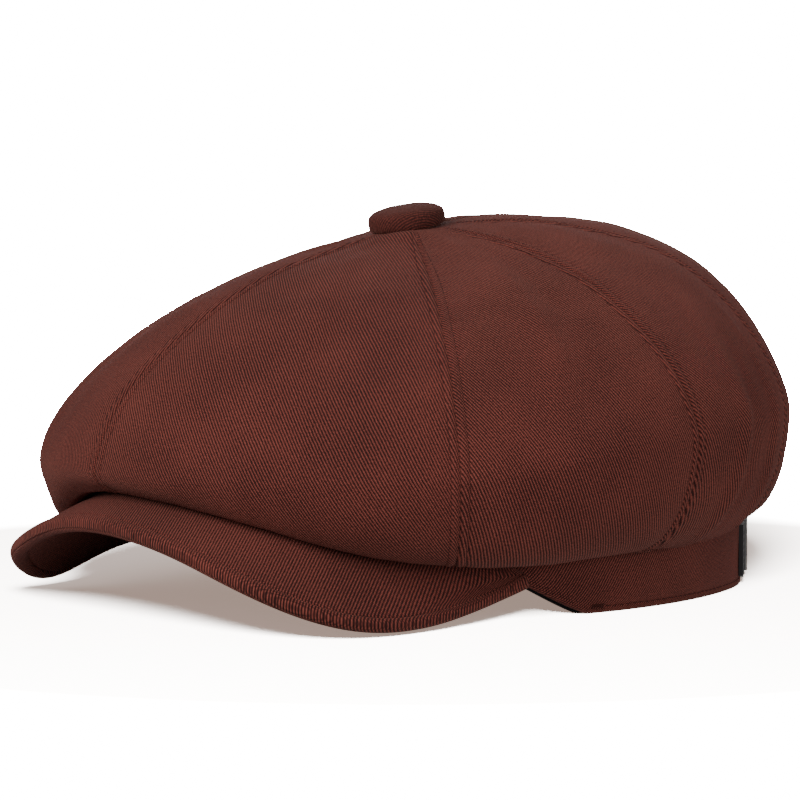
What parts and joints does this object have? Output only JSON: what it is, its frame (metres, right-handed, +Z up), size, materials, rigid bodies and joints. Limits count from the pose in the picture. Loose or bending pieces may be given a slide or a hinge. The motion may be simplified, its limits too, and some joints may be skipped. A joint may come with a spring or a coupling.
{
  "type": "newsboy cap",
  "caption": "Newsboy cap in cotton twill: full panelled crown with a covered button, curved stiff brim, and a band with a strap and lever buckle at the rear.",
  "frame": {"origin": "middle of the cap's length and width, on the surface it stands on", "axes": "-Y towards the brim, +X towards the wearer's left, +Z up"},
  "size_m": [0.2364, 0.2789, 0.1334],
  "materials": {
    "twill": "rust-brown cotton twill, matt with a faint sheen",
    "lining": "black polyester lining, slight sheen",
    "board": "unpainted polyethylene board",
    "interlining": "stiff undyed interlining",
    "sweatband": "black woven cotton",
    "strap": "black woven strap",
    "buckle_metal": "antique grey, worn bright along edges",
    "button_metal": "stamped, plain"
  },
  "bodies": {
    "cap": {"crown_panel_left_1": "twill", "crown_panel_left_2": "twill", "crown_panel_left_3": "twill", "crown_panel_left_4": "twill", "crown_panel_right_1": "twill", "crown_panel_right_2": "twill", "crown_panel_right_3": "twill", "crown_panel_right_4": "twill", "button_cover": "twill", "brim_top_cover": "twill", "brim_under_cover": "twill", "outer_band": "twill", "lining_panel_front_left": "lining", "lining_panel_front_right": "lining", "lining_panel_rear_left": "lining", "lining_panel_rear_right": "lining", "brim_board": "board", "band_interlining": "interlining", "sweatband": "sweatband", "buckle_tab": "strap", "buckle_frame": "buckle_metal", "buckle_pin": "buckle_metal", "button_shell": "button_metal", "button_back": "button_metal", "button_washer": "button_metal"},
    "buckle_lever": {"buckle_lever": "buckle_metal"},
    "strap": {"strap": "strap"}
  },
  "joints": [
    {"name": "buckle_lever_hinge", "type": "hinge", "parent": "cap", "child": "buckle_lever", "pos_m": [0.04096, 0.11321, 0.012], "axis": [0, 0, -1], "range_deg": [0, 90]},
    {"name": "strap_travel", "type": "hinge", "parent": "cap", "child": "strap", "pos_m": [0, 0.0511, 0.012], "axis": [0, 0, -1], "range_deg": [-7, 7]}
  ]
}
